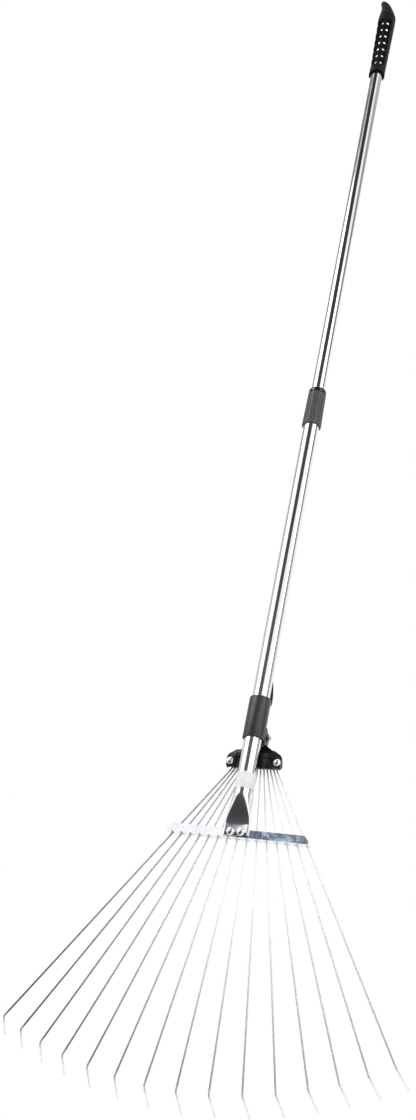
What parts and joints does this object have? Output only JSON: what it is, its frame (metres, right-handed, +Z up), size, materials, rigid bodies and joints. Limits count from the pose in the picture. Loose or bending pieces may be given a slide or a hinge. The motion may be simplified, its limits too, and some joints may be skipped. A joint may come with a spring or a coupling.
{
  "type": "leaf rake",
  "caption": "Telescopic leaf rake with a cushioned grip, a twist-lock pole and an adjustable fan of bent spring-wire tines.",
  "frame": {"origin": "centre of the hanging hole in the cap, on the pole's axis", "axes": "+Z up the pole from the tines to the grip; +X to the right as seen from the front; -Y is the front, the side away from the tines' bent tips"},
  "size_m": [0.4194, 0.0575, 1.6492],
  "materials": {
    "chrome_tube": "polished",
    "bright_fastener": "bright plated",
    "zinc_plate": "bright zinc plating with a blue cast",
    "spring_wire": "plated spring wire",
    "grip_black": "matte soft-touch",
    "black_plastic": "semi-gloss moulded",
    "grey_plastic": "satin moulded",
    "label_white": "plain film band",
    "pad_rubber": "matte"
  },
  "bodies": {
    "upper_pole": {"grip": "grip_black", "hang_cap": "grip_black", "upper_tube": "chrome_tube", "end_plug": "grey_plastic"},
    "lower_pole": {"lower_tube": "chrome_tube", "collet_ring": "black_plastic", "label_band": "label_white", "spreader_bar": "zinc_plate", "rivet_left": "bright_fastener", "rivet_right": "bright_fastener"},
    "twist_collar": {"twist_collar": "grey_plastic"},
    "slider": {"slider_sleeve": "grey_plastic", "yoke_carrier": "black_plastic", "yoke_front_plate": "black_plastic", "brake_pad": "pad_rubber", "yoke_screw_left": "bright_fastener", "yoke_screw_right": "bright_fastener", "yoke_nut_left": "bright_fastener", "yoke_nut_right": "bright_fastener", "lever_pin": "bright_fastener", "lever_nut": "bright_fastener"},
    "cam_lever": {"cam_lever": "black_plastic"},
    "tine_01": {"tine_01": "spring_wire"},
    "tine_02": {"tine_02": "spring_wire"},
    "tine_03": {"tine_03": "spring_wire"},
    "tine_04": {"tine_04": "spring_wire"},
    "tine_05": {"tine_05": "spring_wire"},
    "tine_06": {"tine_06": "spring_wire"},
    "tine_07": {"tine_07": "spring_wire"},
    "tine_08": {"tine_08": "spring_wire"},
    "tine_09": {"tine_09": "spring_wire"},
    "tine_10": {"tine_10": "spring_wire"},
    "tine_11": {"tine_11": "spring_wire"},
    "tine_12": {"tine_12": "spring_wire"},
    "tine_13": {"tine_13": "spring_wire"},
    "tine_14": {"tine_14": "spring_wire"},
    "tine_15": {"tine_15": "spring_wire"}
  },
  "joints": [
    {"name": "telescope", "type": "slide", "parent": "upper_pole", "child": "lower_pole", "axis": [0, 0, 1], "range_m": [0, 0.36]},
    {"name": "collar_twist", "type": "hinge", "parent": "lower_pole", "child": "twist_collar", "pos_m": [0, 0, -0.788], "axis": [0, 0, 1], "range_deg": [0, 180]},
    {"name": "slider_travel", "type": "slide", "parent": "lower_pole", "child": "slider", "axis": [0, 0, 1], "range_m": [0, 0.05]},
    {"name": "lever_swing", "type": "hinge", "parent": "slider", "child": "cam_lever", "pos_m": [0, 0.0205, -1.2305], "axis": [-1, 0, 0], "range_deg": [0, 110]},
    {"name": "tine_01_swing", "type": "hinge", "parent": "slider", "child": "tine_01", "pos_m": [-0.0245, 0.02, -1.2655], "axis": [-0.2346, 0.9721, 0], "range_deg": [-11.31, 0]},
    {"name": "tine_02_swing", "type": "hinge", "parent": "slider", "child": "tine_02", "pos_m": [-0.021, 0.02, -1.2655], "axis": [-0.271, 0.9626, 0], "range_deg": [-10.29, 0]},
    {"name": "tine_03_swing", "type": "hinge", "parent": "slider", "child": "tine_03", "pos_m": [-0.0175, 0.02, -1.2655], "axis": [-0.3201, 0.9474, 0], "range_deg": [-9.11, 0]},
    {"name": "tine_04_swing", "type": "hinge", "parent": "slider", "child": "tine_04", "pos_m": [-0.014, 0.02, -1.2655], "axis": [-0.389, 0.9212, 0], "range_deg": [-7.79, 0]},
    {"name": "tine_05_swing", "type": "hinge", "parent": "slider", "child": "tine_05", "pos_m": [-0.0105, 0.02, -1.2655], "axis": [-0.4906, 0.8714, 0], "range_deg": [-6.39, 0]},
    {"name": "tine_06_swing", "type": "hinge", "parent": "slider", "child": "tine_06", "pos_m": [-0.007, 0.02, -1.2655], "axis": [-0.6452, 0.764, 0], "range_deg": [-4.98, 0]},
    {"name": "tine_07_swing", "type": "hinge", "parent": "slider", "child": "tine_07", "pos_m": [-0.0035, 0.02, -1.2655], "axis": [-0.8605, 0.5094, 0], "range_deg": [-3.8, 0]},
    {"name": "tine_08_swing", "type": "hinge", "parent": "slider", "child": "tine_08", "pos_m": [0, 0.02, -1.2655], "axis": [-1, 0, 0], "range_deg": [-3.29, 0]},
    {"name": "tine_09_swing", "type": "hinge", "parent": "slider", "child": "tine_09", "pos_m": [0.0035, 0.02, -1.2655], "axis": [-0.8605, -0.5094, 0], "range_deg": [-3.78, 0]},
    {"name": "tine_10_swing", "type": "hinge", "parent": "slider", "child": "tine_10", "pos_m": [0.007, 0.02, -1.2655], "axis": [-0.6452, -0.764, 0], "range_deg": [-4.92, 0]},
    {"name": "tine_11_swing", "type": "hinge", "parent": "slider", "child": "tine_11", "pos_m": [0.0105, 0.02, -1.2655], "axis": [-0.4906, -0.8714, 0], "range_deg": [-6.28, 0]},
    {"name": "tine_12_swing", "type": "hinge", "parent": "slider", "child": "tine_12", "pos_m": [0.014, 0.02, -1.2655], "axis": [-0.389, -0.9212, 0], "range_deg": [-7.62, 0]},
    {"name": "tine_13_swing", "type": "hinge", "parent": "slider", "child": "tine_13", "pos_m": [0.0175, 0.02, -1.2655], "axis": [-0.3201, -0.9474, 0], "range_deg": [-8.85, 0]},
    {"name": "tine_14_swing", "type": "hinge", "parent": "slider", "child": "tine_14", "pos_m": [0.021, 0.02, -1.2655], "axis": [-0.271, -0.9626, 0], "range_deg": [-9.93, 0]},
    {"name": "tine_15_swing", "type": "hinge", "parent": "slider", "child": "tine_15", "pos_m": [0.0245, 0.02, -1.2655], "axis": [-0.2346, -0.9721, 0], "range_deg": [-10.84, 0]}
  ],
  "couplings": [
    {"joint": "tine_01_swing", "follows": "slider_travel", "rad_per_m": -3.912},
    {"joint": "tine_02_swing", "follows": "slider_travel", "rad_per_m": -3.558},
    {"joint": "tine_03_swing", "follows": "slider_travel", "rad_per_m": -3.146},
    {"joint": "tine_04_swing", "follows": "slider_travel", "rad_per_m": -2.686},
    {"joint": "tine_05_swing", "follows": "slider_travel", "rad_per_m": -2.194},
    {"joint": "tine_06_swing", "follows": "slider_travel", "rad_per_m": -1.704},
    {"joint": "tine_07_swing", "follows": "slider_travel", "rad_per_m": -1.292},
    {"joint": "tine_08_swing", "follows": "slider_travel", "rad_per_m": -1.114},
    {"joint": "tine_09_swing", "follows": "slider_travel", "rad_per_m": -1.286},
    {"joint": "tine_10_swing", "follows": "slider_travel", "rad_per_m": -1.684},
    {"joint": "tine_11_swing", "follows": "slider_travel", "rad_per_m": -2.156},
    {"joint": "tine_12_swing", "follows": "slider_travel", "rad_per_m": -2.626},
    {"joint": "tine_13_swing", "follows": "slider_travel", "rad_per_m": -3.056},
    {"joint": "tine_14_swing", "follows": "slider_travel", "rad_per_m": -3.432},
    {"joint": "tine_15_swing", "follows": "slider_travel", "rad_per_m": -3.75}
  ]
}
